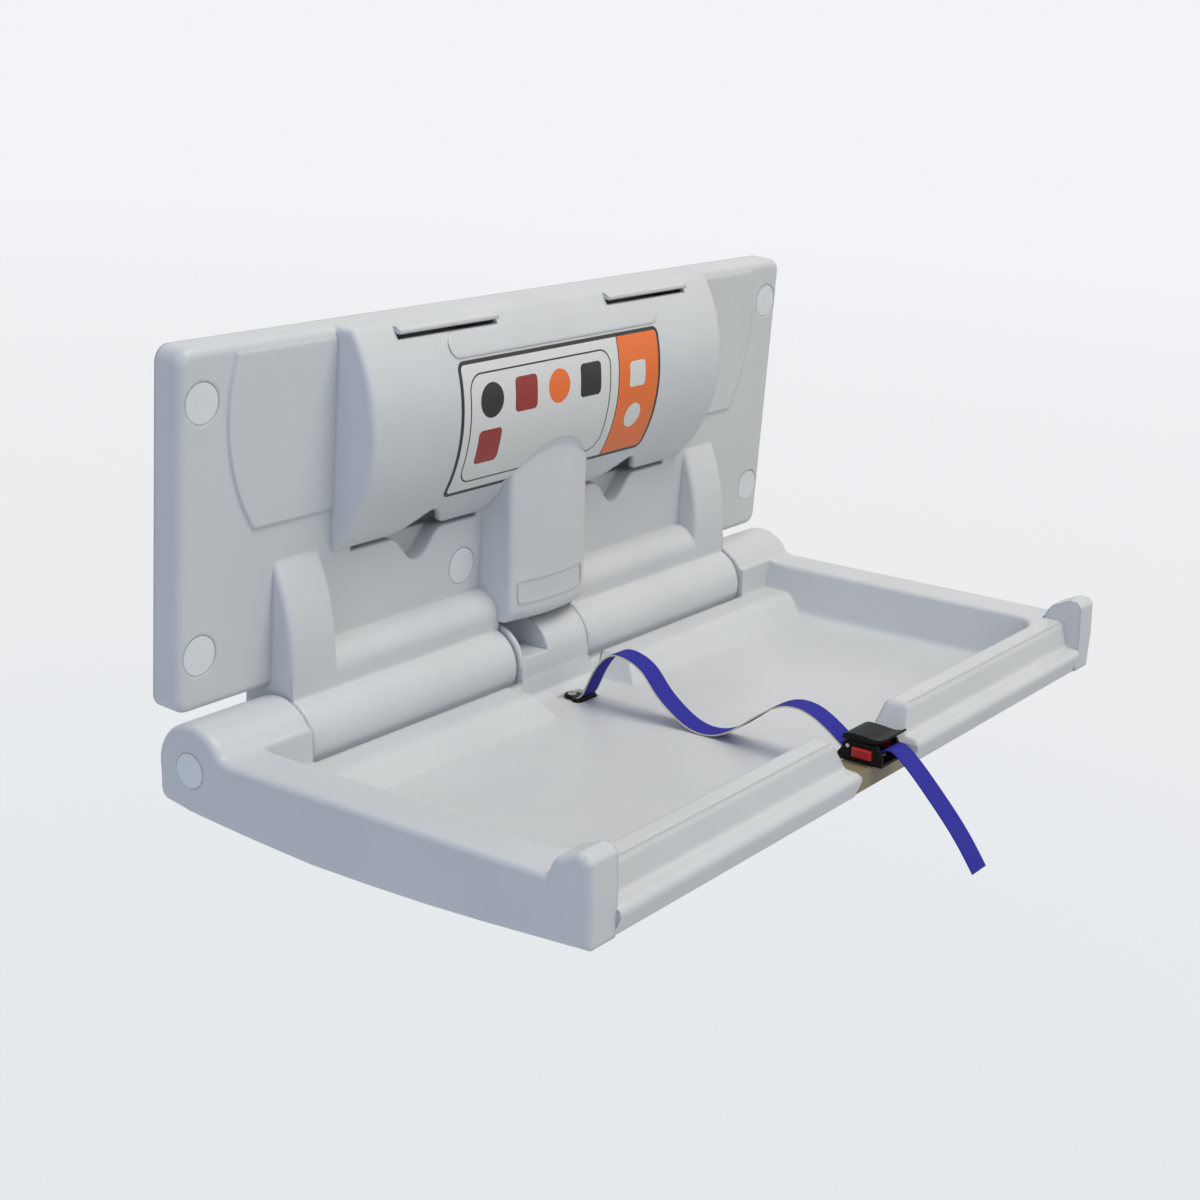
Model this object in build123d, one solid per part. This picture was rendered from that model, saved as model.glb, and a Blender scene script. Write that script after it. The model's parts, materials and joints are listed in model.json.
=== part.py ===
from build123d import *
import math
import os

os.makedirs("parts", exist_ok=True)

# All sizes are in millimetres. X runs along the wall, Y into the wall, Z up.
# The origin is the middle of the four outer bolt holes, on the wall plane.
# Outlines are tables of shares of one named length, written as pairs.

# Wall plate
plate_width = 895.0
plate_height = 314.0
plate_thick = 29.5
plate_corner_r = 14.0
plate_edge_r = 8.0
join_overlap = 6.0

# Mounting bolts, all from the lower edge of the plate
bolt_edge_x = 24.5
bolt_margin_z = 50.0
bolt_margin_top = 46.0
bolt_pitch_x = plate_width - 2 * bolt_edge_x
bolt_pitch_z = plate_height - bolt_margin_z - bolt_margin_top
centre_pitch_x = 174.0
centre_bolt_height = 59.0
bolt_hole_r = 4.0
cap_r = 17.8
cap_seat_depth = 5.0
cap_thick = 4.8
cap_fit = 0.1
cap_edge_r = 1.2

# Steel rails let into the back, behind the outer bolts
rail_half = 18.0
rail_low = 30.0
rail_top_gap = 26.0
rail_high = plate_height - rail_top_gap
rail_thick = 2.5
rail_fit = 0.3

# Liner bulge, a part of a round section whose axis lies behind the wall
wing_width = 177.5
bulge_half = plate_width / 2 - wing_width
bulge_r = 155.0
bulge_axis_y = 78.0
bulge_axis_drop = 92.0
bulge_axis_height = plate_height - bulge_axis_drop
bulge_edge_r = 5.0
liner_wall = 5.0
liner_low = 106.0
liner_top_wall = 6.5
liner_high = plate_height - liner_top_wall

# Panels that close the liner bays from behind
panel_thick = 4.0
panel_ledge = 3.0
panel_fit = 0.3

# Loading slots and their lips
slot_inner = 85.0
slot_margin = 50.0
slot_outer = bulge_half - slot_margin
slot_drop = 7.4
slot_gap = 5.2
slot_high = plate_height - slot_drop
slot_low = slot_high - slot_gap
lip_reach = 56.5
lip_drop = 1.4
lip_top = plate_height - lip_drop

# Thumb openings and the slits that hand out the liners
thumb_inset = 115.0
thumb_x = bulge_half - thumb_inset
thumb_half = 38.0
thumb_depth_y = -12.0
slit_inner = 70.0
slit_margin = 26.0
slit_outer = bulge_half - slit_margin
slit_gap = 4.6
slit_low = liner_low
slit_high = slit_low + slit_gap
slit_back_y = -15.0

# Raised band and label on the bulge
band_half = 160.0
band_drop = 13.0
band_width = 22.0
band_high = plate_height - band_drop
band_low = band_high - band_width
band_rise = 1.0
label_side_gap = 5.0
label_half = band_half - label_side_gap
label_band_gap = 3.0
label_height = 130.0
label_high = band_low - label_band_gap
label_low = label_high - label_height
label_corner_r = 8.0
label_fit = 0.05
label_thick = 0.45

# Raised bare fields on the wings
field_rise = 1.8
field_slope = 35.0
field_drop = 8.0
field_lap = 8.0
field_top = plate_height - field_drop
field_inner = bulge_half - field_lap

# Stem
stem_half = 60.0
stem_side_reach = 69.6
stem_centre_reach = 78.0
stem_ref_height = 28.0
stem_lean = 0.058
stem_bottom = 0.6
stem_wall = 6.0
stem_back_wall = 6.0
spring_top_height = 140.0
spring_head_room = 18.0
stem_cap = 24.0
stem_cavity_top = spring_top_height + spring_head_room
stem_top = stem_cavity_top + stem_cap
liner_inner = stem_half
stem_edge_r = 14.0
stem_side_r = 5.0
stem_frame_inset = 9.0
stem_frame_half = stem_half - stem_frame_inset
stem_frame_low = 21.5
stem_frame_high = 47.0
stem_frame_line = 2.4
stem_frame_rise = 0.6
stem_frame_r = 6.0

# Shoulder, buttresses and barrels
barrel_step = 2.0
barrel_gap = 2.0
barrel_centre_gap = 3.0
barrel_end_r = 4.0
buttress_width = 57.0
buttress_edge_r = 5.0
lower_back_drop = 66.0

# Hinge
rim_gap = 0.5
rim_rise = 15.5
knuckle_r = 40.0
hinge_clear = 2.7
hinge_drop = knuckle_r + hinge_clear
barrel_r = knuckle_r - barrel_step
bed_tilt = 3.35
bed_swing = 86.65
hinge_fit = 0.05
rod_r = 7.0
rod_cap_gap = 3.0

# Bed: u is the distance in front of the hinge axis, w the height over it
bed_half = plate_width / 2
knuckle_end_r = 3.0
end_knuckle_width = 105.5
knuckle_inner = bed_half - end_knuckle_width
barrel_outer = knuckle_inner - barrel_gap
buttress_inner = barrel_outer - buttress_width
centre_knuckle_inset = 6.0
centre_knuckle_half = stem_half - centre_knuckle_inset
barrel_inner = centre_knuckle_half + barrel_centre_gap
centre_stem_gap = 2.0
centre_clear_half = stem_half + centre_stem_gap
centre_flare = 16.0
tray_knuckle_gap = 1.5
tray_start = knuckle_r + tray_knuckle_gap
post_width = 35.5
post_inner = bed_half - post_width
tray_floor_inset = 24.0
tray_rim_inset = 12.5
tray_half_floor = post_inner - tray_floor_inset
tray_half_rim = post_inner - tray_rim_inset
bed_front = 430.0
tray_front_wall = 60.0
tray_front_floor = bed_front - tray_front_wall
tray_floor_w = -36.5
tray_corner_r = 20.0
tray_floor_edge_r = 9.0
tray_rim_r = 5.0
bed_edge_r = 7.0
ledge_w = -13.0
ledge_length = 32.5
ledge_slope = 19.0
ledge_end = tray_start + ledge_length
ledge_foot = ledge_end + ledge_slope
centre_step = 2.5
centre_step_w = -30.0
centre_foot = 10.5
under_start_w = -43.2
bar_back_inset = 48.0
bar_front_inset = 28.0
bar_back = bed_front - bar_back_inset
bar_front = bed_front - bar_front_inset
bar_top_r = 8.0
bar_foot_r = 5.0
bar_nose_r = 7.0

# Front notch, strap mount bar and anchor seat
notch_top_half = 68.0
notch_low_half = 51.0
notch_floor_w = -18.0
notch_back_inset = 58.0
notch_back = bed_front - notch_back_inset
notch_corner_r = 5.0
notch_shoulder_r = 10.0
mount_bar_back_inset = 42.0
mount_bar_back = bed_front - mount_bar_back_inset
mount_bar_front_inset = 12.0
mount_bar_front = bed_front - mount_bar_front_inset
mount_bar_low_w = -37.6
mount_bar_fit = 0.3
mount_bar_edge_r = 2.0
lug_reach = 7.0
lug_back_inset = 37.0
lug_back = bed_front - lug_back_inset
lug_front_inset = 19.0
lug_front = bed_front - lug_front_inset
lug_low_w = -33.0
lug_high_w = -25.0
seat_half = 17.0
seat_start = 12.5
seat_length = 30.0
seat_back = tray_start + seat_start
seat_front = seat_back + seat_length
seat_floor_w = -39.5
seat_r = 5.0

# Crank pocket in the centre knuckle
pocket_wall = 4.0
pocket_width = 38.0
pocket_low_x = -(centre_knuckle_half - pocket_wall)
pocket_high_x = pocket_low_x + pocket_width
pocket_floor_w = 9.2
pocket_back_u = -45.0
pocket_front_u = 45.0

# Bushes on the hinge rod
bush_wall = 2.2
bush_length = 16.0
bush_flange_r = 15.0
bush_flange = 1.5

# Rod end caps
end_cap_r = 15.3
end_cap_seat = 4.0
end_cap_rise = 1.0
end_cap_edge_r = 1.0
rod_half = bed_half - end_cap_seat - rod_cap_gap

# Gas spring
spring_x = (pocket_low_x + pocket_high_x) / 2
crank_r = 30.0
crank_pin_r = 3.0
crank_pin_in = 6.0
spring_pin_r = 3.0
pin_head = 1.5
piston_step = 1.0
bracket_flange = 8.0
screw_end_gap = 1.0
cylinder_r = 9.0
cylinder_low = 8.0
cylinder_eye_gap = 12.0
cylinder_high = spring_top_height - cylinder_eye_gap
cylinder_wall = 1.4
gland_length = 6.0
spring_rod_r = 4.0
piston_gap = 0.2
piston_length = 9.0
piston_height = 61.0
end_eye_r = 7.5
end_eye_thick = 10.0
yoke_wall = 2.0
yoke_end_gap = 0.6
yoke_side_gap = 1.2
yoke_thick = 10.0
bracket_thick = 3.0
bracket_gap = 0.4
bracket_height = 22.0

# Strap and its fittings
strap_width = 26.0
strap_thick = 1.5
strap_steps = 60
tail_steps = 24
anchor_side_gap = 2.0
anchor_end_gap = 1.0
anchor_half = seat_half - anchor_side_gap
anchor_back = seat_back + anchor_end_gap
anchor_front = seat_front - anchor_end_gap
anchor_thick = 3.2
anchor_r = 4.5
anchor_screw_start = 7.0
anchor_screw_u = anchor_back + anchor_screw_start
anchor_screw_depth = 4.0
screw_head_r = 4.6
screw_head_thick = 1.5
screw_socket_r = 1.6
screw_socket_depth = 0.9
screw_r = 2.0
small_head_r = 3.6
screw_fit = 0.05

# Buckle
buckle_back_inset = 49.0
buckle_back = bed_front - buckle_back_inset
buckle_front_inset = 3.0
buckle_front = bed_front - buckle_front_inset
buckle_half = 19.0
buckle_low_w = -17.9
buckle_floor = 3.0
buckle_wall = 3.0
buckle_screw_u_inset = 18.0
buckle_screw_u = bed_front - buckle_screw_u_inset
buckle_screw_x = 7.0
buckle_screw_depth = 13.0
lever_pin_u_inset = 39.0
lever_pin_u = bed_front - lever_pin_u_inset
lever_pin_w = -4.0
lever_pin_r = 1.8
lever_cam_r = 5.2
lever_half = 15.6
lever_arm_half = 3.6
lever_edge_r = 0.8
button_back_inset = 33.0
button_back = bed_front - button_back_inset
button_front_inset = 13.0
button_front = bed_front - button_front_inset
button_low_w = -12.6
button_high_w = -3.4
button_fit = 0.3
button_inner = 16.3
button_outer = 22.6
button_edge_r = 1.2


def rise(height):
    return height - bolt_margin_z - bolt_pitch_z / 2


cut_past = 1.0
outline_length = 100.0
screw_foot_w = buckle_low_w + buckle_floor - buckle_screw_depth
axis_y = -(plate_thick + rim_gap + rim_rise)
axis_z = rise(0) - hinge_drop
half_swing = math.radians(bed_swing / 2)
spring_y = axis_y + crank_r * (1 + math.cos(half_swing)) / 2
yoke_slot_half_y = crank_r * (1 - math.cos(half_swing)) / 2 + crank_pin_r + yoke_end_gap
yoke_slot_half_z = crank_pin_r + yoke_side_gap
yoke_eye_half_y = yoke_slot_half_y + yoke_wall
yoke_eye_half_z = yoke_slot_half_z + yoke_wall
bed_place = Location((0, axis_y, axis_z), (-bed_tilt, 0, 0))


def scaled(shares, length):
    return [(a * length, b * length) for a, b in shares]


def ahead(shares):
    """Outline drawn from the bed's front edge, as distances behind it."""
    return [(bed_front - a * outline_length, b * outline_length) for a, b in shares]


def side_face(points, x):
    """Closed outline of (y, z) points on the plane at x."""
    wire = Polyline(*[(a, b) for a, b in points], close=True)
    return Plane.YZ.offset(x) * make_face(wire)


def side_prism(points, low, high):
    return extrude(side_face(points, low), high - low)


def bed_prism(points, low, high):
    """Closed outline of (u, w) points, between two x planes."""
    return side_prism([(-u, w) for u, w in points], low, high)


def span(x0, x1, y0, y1, z0, z1):
    centre = ((x0 + x1) / 2, (y0 + y1) / 2, (z0 + z1) / 2)
    return Pos(*centre) * Box(abs(x1 - x0), abs(y1 - y0), abs(z1 - z0))


def bed_span(x0, x1, u0, u1, w0, w1):
    return span(x0, x1, -u0, -u1, w0, w1)


def x_rod(radius, low, high, y, z):
    disc = Plane.YZ.offset(low) * (Pos(y, z) * Circle(radius))
    return extrude(disc, high - low)


def y_rod(radius, x, z, back, front):
    """Round rod along Y, from y = back towards the room at y = front."""
    disc = Plane.XZ.offset(-back) * (Pos(x, z) * Circle(radius))
    return extrude(disc, back - front)


def z_rod(radius, x, y, low, high):
    return Pos(x, y, low) * extrude(Circle(radius), high - low)


def w_rod(radius, x, u, low, high):
    """Round rod square to the bed's rim plane."""
    return z_rod(radius, x, -u, low, high)


def save(shape, name):
    shape.label = name
    export_step(shape, f"parts/{name}.step")
    print(name, len(shape.solids()), round(shape.volume))


def group(solids, name):
    return Compound(label=name, children=list(solids))


def bulge_y(height, radius=bulge_r):
    drop = height - bulge_axis_height
    return bulge_axis_y - math.sqrt(radius * radius - drop * drop)


def bulge_rod(radius, low, high):
    return x_rod(radius, low, high, bulge_axis_y, rise(bulge_axis_height))


# Wall plate

bolt_points = [
    (sx * bolt_pitch_x / 2, sz * bolt_pitch_z / 2) for sx in (-1, 1) for sz in (-1, 1)
]
centre_bolt_z = rise(centre_bolt_height)
centre_points = [(s * centre_pitch_x / 2, centre_bolt_z) for s in (-1, 1)]
all_bolts = bolt_points + centre_points


def plate_slab():
    outline = RectangleRounded(plate_width, plate_height, plate_corner_r)
    middle = rise(plate_height / 2)
    slab = extrude(Plane.XZ * (Pos(0, middle) * outline), plate_thick)
    front = slab.faces().sort_by(Axis.Y)[0]
    return fillet(front.edges(), plate_edge_r)


def bulge_body():
    rod = bulge_rod(bulge_r, -bulge_half, bulge_half)
    keep = span(
        -bulge_half,
        bulge_half,
        -bulge_r,
        -plate_thick + join_overlap,
        rise(liner_low - join_overlap),
        rise(plate_height),
    )
    body = rod & keep
    back_y = -plate_thick + join_overlap
    loose = [e for e in body.edges() if e.center().Y < back_y - join_overlap / 2]
    return fillet(loose, bulge_edge_r)


def liner_room(side):
    low, high = sorted((side * liner_inner, side * (bulge_half - liner_wall)))
    rod = bulge_rod(bulge_r - liner_wall, low, high)
    keep = span(low, high, 0, -bulge_r, rise(liner_low), rise(liner_high))
    return rod & keep


def panel_box(side, fit):
    """Panel on the ledge round one liner bay, flush with the plate's back."""
    edge = panel_ledge - panel_fit + fit
    inner = side * (liner_inner - edge)
    outer = side * (bulge_half - liner_wall + edge)
    return span(
        inner, outer, 0, -panel_thick, rise(liner_low) - edge, rise(liner_high) + edge
    )


def back_panels():
    return group([panel_box(side, 0) for side in (-1, 1)], "back_panels")


def load_slot(side):
    low, high = sorted((side * slot_inner, side * slot_outer))
    inner_y = bulge_y(slot_high, bulge_r - liner_wall) + liner_wall
    return span(low, high, inner_y, -bulge_r, rise(slot_low), rise(slot_high))


def slot_lip(side):
    low, high = sorted((side * slot_inner, side * slot_outer))
    root_y = bulge_y(lip_top) + liner_wall / 2
    nose = (lip_top + slot_high) / 2
    points = [
        (root_y, rise(lip_top)),
        ((root_y - lip_reach) / 2, rise(lip_top)),
        (-lip_reach, rise(nose)),
        (-lip_reach, rise(slot_high)),
        (root_y, rise(slot_high)),
    ]
    return side_prism(points, low, high)


thumb_top_shares = [
    (-1.1579, 0.0000),
    (-0.9474, 0.0474),
    (-0.7368, 0.1579),
    (-0.5000, 0.3553),
    (-0.2895, 0.5395),
    (-0.1053, 0.6526),
    (0.1053, 0.6526),
    (0.2895, 0.5395),
    (0.5000, 0.3553),
    (0.7368, 0.1579),
    (0.9474, 0.0474),
    (1.1579, 0.0000),
]
thumb_low_shares = [
    (1.1579, 0.0000),
    (0.9737, -0.0316),
    (0.7632, -0.1211),
    (0.5789, -0.2895),
    (0.3947, -0.5158),
    (0.2105, -0.6842),
    (0.0000, -0.7447),
    (-0.2105, -0.6842),
    (-0.3947, -0.5158),
    (-0.5789, -0.2895),
    (-0.7632, -0.1211),
    (-0.9737, -0.0316),
    (-1.1579, 0.0000),
]


def thumb_notch(side):
    """Thumb opening: one bell cut up into the bulge, one down into the plate."""
    middle = rise((slit_high + slit_low) / 2)
    upper = Spline(*scaled(thumb_top_shares, thumb_half))
    lower = Spline(*scaled(thumb_low_shares, thumb_half))
    place = Pos(side * thumb_x, middle)
    bells = make_face([upper, lower])
    return extrude(Plane.XZ.offset(-thumb_depth_y) * (place * bells), bulge_r)


def slit(side):
    low, high = sorted((side * slit_inner, side * slit_outer))
    return span(low, high, slit_back_y, -bulge_r, rise(slit_low), rise(slit_high))


def raised_band():
    ring = bulge_rod(bulge_r + band_rise, -band_half, band_half)
    ring -= bulge_rod(bulge_r - liner_wall / 2, -band_half, band_half)
    height = band_high - band_low
    outline = SlotOverall(2 * band_half, height)
    place = Pos(0, rise(band_low + height / 2))
    return ring & extrude(Plane.XZ * (place * outline), bulge_r)


label_stem_shares = [
    (-0.4387, 0.9419),
    (-0.3806, 0.9871),
    (-0.3097, 1.0548),
    (-0.2387, 1.1129),
    (-0.1677, 1.1548),
    (-0.0839, 1.1806),
    (0.0000, 1.1871),
    (0.0839, 1.1806),
    (0.1677, 1.1548),
    (0.2387, 1.1129),
    (0.3097, 1.0548),
    (0.3806, 0.9871),
    (0.4387, 0.9419),
]


def label_outline():
    height = label_high - label_low
    outline = RectangleRounded(2 * label_half, height, label_corner_r)
    panel = Pos(0, rise(label_low + height / 2)) * outline
    hump = [(x, rise(z)) for x, z in scaled(label_stem_shares, label_half)]
    closing = Polyline(
        hump[-1],
        (hump[-1][0], hump[-1][1] - label_corner_r),
        (hump[0][0], hump[0][1] - label_corner_r),
        hump[0],
    )
    return panel - make_face([Spline(*hump), closing])


def label_panel():
    ring = bulge_rod(bulge_r + label_fit + label_thick, -label_half, label_half)
    ring -= bulge_rod(bulge_r + label_fit, -label_half, label_half)
    return ring & extrude(Plane.XZ * label_outline(), bulge_r)


field_edge_shares = [
    (0.1927, 0.9745),
    (0.1640, 0.7834),
    (0.2500, 0.4968),
]
field_corner_share = [
    (0.2627, 0.4777),
]


def wing_field(side):
    """Raised bare field on a wing, with sloped edges."""
    edge = plate_width / 2
    curve = [(side * (edge - x), rise(z)) for x, z in scaled(field_edge_shares, plate_height)]
    corner = [(side * (edge - x), rise(z)) for x, z in scaled(field_corner_share, plate_height)]
    inner_low = (side * field_inner, corner[0][1])
    inner_high = (side * field_inner, rise(field_top))
    rest = Polyline(curve[-1], corner[0], inner_low, inner_high, curve[0])
    face = Plane.XZ.offset(plate_thick) * make_face([ThreePointArc(*curve), rest])
    raised = extrude(face, field_rise, taper=field_slope)
    return raised + extrude(face, -join_overlap)


def stem_section(shrink, back):
    """Plan of the stem at the reference height, drawn on (x, y)."""
    half = stem_half - shrink
    side_y = -stem_side_reach + shrink
    front_y = -stem_centre_reach + shrink
    front = ThreePointArc((-half, side_y), (0, front_y), (half, side_y))
    rest = Polyline((half, side_y), (half, back), (-half, back), (-half, side_y))
    return make_face([front, rest])


def stem_prism(shrink, low, high):
    """Stem between two heights, leaning in towards its top."""
    back = bulge_axis_y
    section = stem_section(shrink, back)
    foot = low - stem_ref_height
    length = high - low
    placed = Pos(0, stem_lean * foot, rise(low)) * section
    body = extrude(placed, length, dir=(0, stem_lean, 1))
    keep = span(-plate_width, plate_width, 0, -bulge_r, rise(low), rise(high))
    return body & keep


def stem_body():
    low = stem_bottom
    body = stem_prism(0, low, stem_top)
    floor = body.faces().sort_by(Axis.Z)[0]
    edge = floor.edges().sort_by(Axis.Y)[0]
    body = fillet(edge, stem_edge_r)
    uprights = [e for e in body.edges() if e.bounding_box().size.Z > plate_height / 3]
    outer = [e for e in uprights if e.center().Y < -plate_thick]
    return fillet(outer, stem_side_r)


def stem_room():
    room = stem_prism(stem_wall, stem_bottom - join_overlap, stem_cavity_top)
    back = span(
        -plate_width, plate_width, 0, -stem_back_wall, rise(-plate_height), rise(plate_height)
    )
    return room - back


def stem_frame():
    height = stem_frame_high - stem_frame_low
    outer = RectangleRounded(2 * stem_frame_half, height, stem_frame_r)
    inner = RectangleRounded(
        2 * (stem_frame_half - stem_frame_line),
        height - 2 * stem_frame_line,
        stem_frame_r - stem_frame_line,
    )
    place = Pos(0, rise(stem_frame_low + height / 2))
    ring = extrude(Plane.XZ * (place * (outer - inner)), bulge_r)
    skin = stem_prism(-stem_frame_rise, stem_bottom, stem_top)
    skin -= stem_prism(stem_wall / 2, stem_bottom - join_overlap, stem_top)
    return ring & skin


def arc_face(arcs, lines, x):
    return Plane.YZ.offset(x) * make_face(arcs + lines)


shoulder_shares = [
    (-0.2950, 0.3050),
    (-0.4950, 0.2250),
    (-0.5600, 0.0800),
]
buttress_shares = [
    (-0.2950, 1.1600),
    (-0.5000, 0.6300),
    (-0.5600, 0.0400),
]


def front_wedge(shares, low, high):
    """Swelling on the plate: an arc in front, straight down to the barrel."""
    a, b, c = [(y, rise(z)) for y, z in scaled(shares, outline_length)]
    arc = ThreePointArc(a, b, c)
    back_y = -plate_thick + join_overlap
    rest = Polyline(c, (c[0], axis_z + barrel_r / 2), (back_y, axis_z), (back_y, a[1]), a)
    return extrude(arc_face([arc], [rest], low), high - low)


def buttress(side):
    low, high = sorted((side * buttress_inner, side * barrel_outer))
    body = front_wedge(buttress_shares, low, high)
    edges = [
        e for e in body.edges()
        if e.geom_type == GeomType.CIRCLE and e.center().Y < -plate_thick
    ]
    return fillet(edges, buttress_edge_r)


def barrel_side(side):
    low, high = sorted((side * barrel_inner, side * barrel_outer))
    barrel = x_rod(barrel_r, low, high, axis_y, axis_z)
    barrel = fillet(barrel.edges().filter_by(GeomType.CIRCLE), barrel_end_r)
    top = rise(stem_bottom + join_overlap)
    points = [
        (0, top),
        (0, rise(-lower_back_drop)),
        (axis_y, axis_z - barrel_r),
        (axis_y, top),
    ]
    return barrel + side_prism(points, low, high)


def rail_box(side, fit):
    x = side * bolt_pitch_x / 2
    return span(
        x - rail_half - fit,
        x + rail_half + fit,
        0,
        -rail_thick - fit,
        rise(rail_low) - fit,
        rise(rail_high) + fit,
    )


def wall_rails():
    rails = []
    for side in (-1, 1):
        rail = rail_box(side, 0)
        for x, z in bolt_points:
            rail -= y_rod(bolt_hole_r, x, z, 0, -plate_thick)
        rails.append(rail)
    return group(rails, "wall_rails")


def wall_plate():
    body = plate_slab() + bulge_body()
    body += raised_band()
    for side in (-1, 1):
        body += wing_field(side)
        body += barrel_side(side)
        inner, outer = sorted((side * barrel_inner, side * barrel_outer))
        body += front_wedge(shoulder_shares, inner, outer)
        body += buttress(side)
        body += slot_lip(side)
    body += stem_body()
    body += stem_frame()
    body -= stem_room()
    for side in (-1, 1):
        body -= liner_room(side)
        body -= panel_box(side, panel_fit)
        body -= load_slot(side)
        body -= slit(side)
        body -= thumb_notch(side)
        inner, outer = sorted((side * barrel_inner, side * barrel_outer))
        body -= x_rod(rod_r + hinge_fit, inner, outer, axis_y, axis_z)
        body -= rail_box(side, rail_fit)
    for x, z in all_bolts:
        body -= y_rod(bolt_hole_r, x, z, 0, -bulge_r)
        body -= y_rod(cap_r + cap_fit, x, z, -plate_thick + cap_seat_depth, -bulge_r)
    for x in bracket_screw_xs():
        z = rise(spring_top_height)
        body -= y_rod(screw_r + screw_fit, x, z, -screw_end_gap, -stem_back_wall)
    return body


def plate_caps():
    caps = []
    for x, z in all_bolts:
        front = -plate_thick
        cap = y_rod(cap_r, x, z, front + cap_thick, front)
        rim = cap.faces().sort_by(Axis.Y)[0].edges()
        caps.append(fillet(rim, cap_edge_r))
    return group(caps, "plate_caps")


# Bed, drawn level with the hinge axis at its origin, then tilted into place

under_back_shares = [(0.175, -1.02)]
under_u_shares = [0.1721, 0.3233, 0.4674, 0.607, 0.7395, 0.9256]
under_w_shares = [-1.135, -1.215, -1.2, -1.1625, -1.09, -0.965]
front_shares = [
    (0.2700, 0.1550),
    (0.2050, -0.1150),
    (0.0050, -0.1300),
    (0.1100, -0.3720),
]
heel_shares = [
    (-0.9875, 0.0000),
    (-0.9875, -0.6500),
    (-0.9300, -0.7900),
    (-0.8125, -0.8800),
]
post_shares = [
    (0.0830, -0.3660),
    (0.0660, 0.0130),
    (0.0760, 0.3300),
    (0.1250, 0.3880),
    (0.2100, 0.3950),
    (0.3200, 0.3420),
    (0.4000, 0.3100),
    (0.4500, 0.2500),
    (0.4900, 0.1550),
]
knee_shares = [
    (1.1500, 0.3875),
    (0.9250, 0.4400),
    (0.7875, 0.5600),
    (0.7050, 0.7075),
]


def bed_under():
    """Underside, from behind the tray to below the front bar."""
    back = scaled(under_back_shares, knuckle_r) + [(tray_start, under_start_w)]
    rest = zip(under_u_shares, under_w_shares)
    return back + [(u * bed_front, w * knuckle_r) for u, w in rest]


def tray_blank():
    """Body between the corner posts, in front of the barrels."""
    under = [p for p in bed_under() if p[0] >= tray_start]
    points = [(tray_start, rim_rise), (bar_front, rim_rise)]
    points += [(bar_front, under[-1][1])] + list(reversed(under))
    return bed_prism(points, -post_inner, post_inner)


def long_edges(body, u, w):
    """Edges along the bed's length that pass within one joint of a point."""
    return [
        e for e in body.edges()
        if e.bounding_box().size.X > post_inner
        and abs(e.center().Y + u) < join_overlap / 4
        and abs(e.center().Z - w) < join_overlap / 4
    ]


def front_ledge():
    corners = ahead(front_shares)
    points = [(bar_back, rim_rise)] + corners
    points += [bed_under()[-1], (bar_back, bed_under()[-1][1])]
    body = bed_prism(points, -post_inner, post_inner)
    for (u, w), radius in zip(corners, (bar_top_r, bar_foot_r, bar_nose_r)):
        body = fillet(long_edges(body, u, w), radius)
    return body


def cheek(side):
    """Outer end of the bed: knuckle, side and corner post in one outline."""
    points = scaled(heel_shares, knuckle_r) + bed_under()[:-1]
    points += ahead(post_shares) + scaled(knee_shares, knuckle_r) + [(0, 0)]
    outline = make_face(Polyline(*[(-u, w) for u, w in points], close=True))
    outline = outline + Circle(knuckle_r)
    inner = side * (post_inner - join_overlap / 2)
    body = extrude(Plane.YZ.offset(inner) * outline, side * (bed_half - abs(inner)))
    outer = body.faces().sort_by(Axis.X)[-1 if side > 0 else 0]
    body = fillet(outer.edges(), bed_edge_r)
    post = bed_span(
        *sorted((side * (post_inner - join_overlap), side * post_inner)),
        bar_back, bed_front, bed_under()[-1][1] - join_overlap, knuckle_r + join_overlap
    )
    return body - post


def knuckle(low, high):
    rod = x_rod(knuckle_r, low, high, 0, 0)
    rod = fillet(rod.edges().filter_by(GeomType.CIRCLE), knuckle_end_r)
    under = [p for p in bed_under() if p[0] < tray_start + join_overlap]
    points = [(0, 0)] + scaled(heel_shares, knuckle_r) + under
    points += [(tray_start + hinge_fit, under[-1][1]), (tray_start + hinge_fit, 0)]
    return rod + bed_prism(points, low, high)


def end_knuckle(side):
    low, high = sorted((side * knuckle_inner, side * (post_inner + join_overlap)))
    points = [(0, 0)] + list(reversed(scaled(knee_shares, knuckle_r)))
    points += [(tray_start + join_overlap, 0)]
    return knuckle(low, high) + bed_prism(points, low, high)


def tray_room():
    """Hollow of the tray: slanted walls, a strip behind, a level floor."""
    depth = rim_rise - tray_floor_w
    slant = math.degrees(math.atan((tray_half_rim - tray_half_floor) / depth))
    length = tray_front_floor + tray_start
    plan = RectangleRounded(2 * tray_half_floor, length, tray_corner_r)
    place = Pos(0, -(tray_front_floor - length / 2), tray_floor_w)
    room = extrude(place * plan, depth + join_overlap, taper=-slant)
    floor = room.faces().sort_by(Axis.Z)[0]
    room = fillet(floor.edges(), tray_floor_edge_r)
    step = [
        (tray_start - cut_past, rim_rise + 2 * join_overlap),
        (tray_start - cut_past, ledge_w),
        (ledge_end, ledge_w),
        (ledge_foot, tray_floor_w),
        (ledge_foot, tray_floor_w - join_overlap),
        (bed_front, tray_floor_w - join_overlap),
        (bed_front, rim_rise + 2 * join_overlap),
    ]
    step = bed_prism(step, -bed_half, bed_half)
    crease = [
        e for e in step.edges()
        if e.bounding_box().size.X > bed_half and abs(e.center().Y + ledge_end) < join_overlap
    ]
    step = fillet([e for e in crease if e.center().Z < 0], tray_corner_r)
    return room & step


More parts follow.
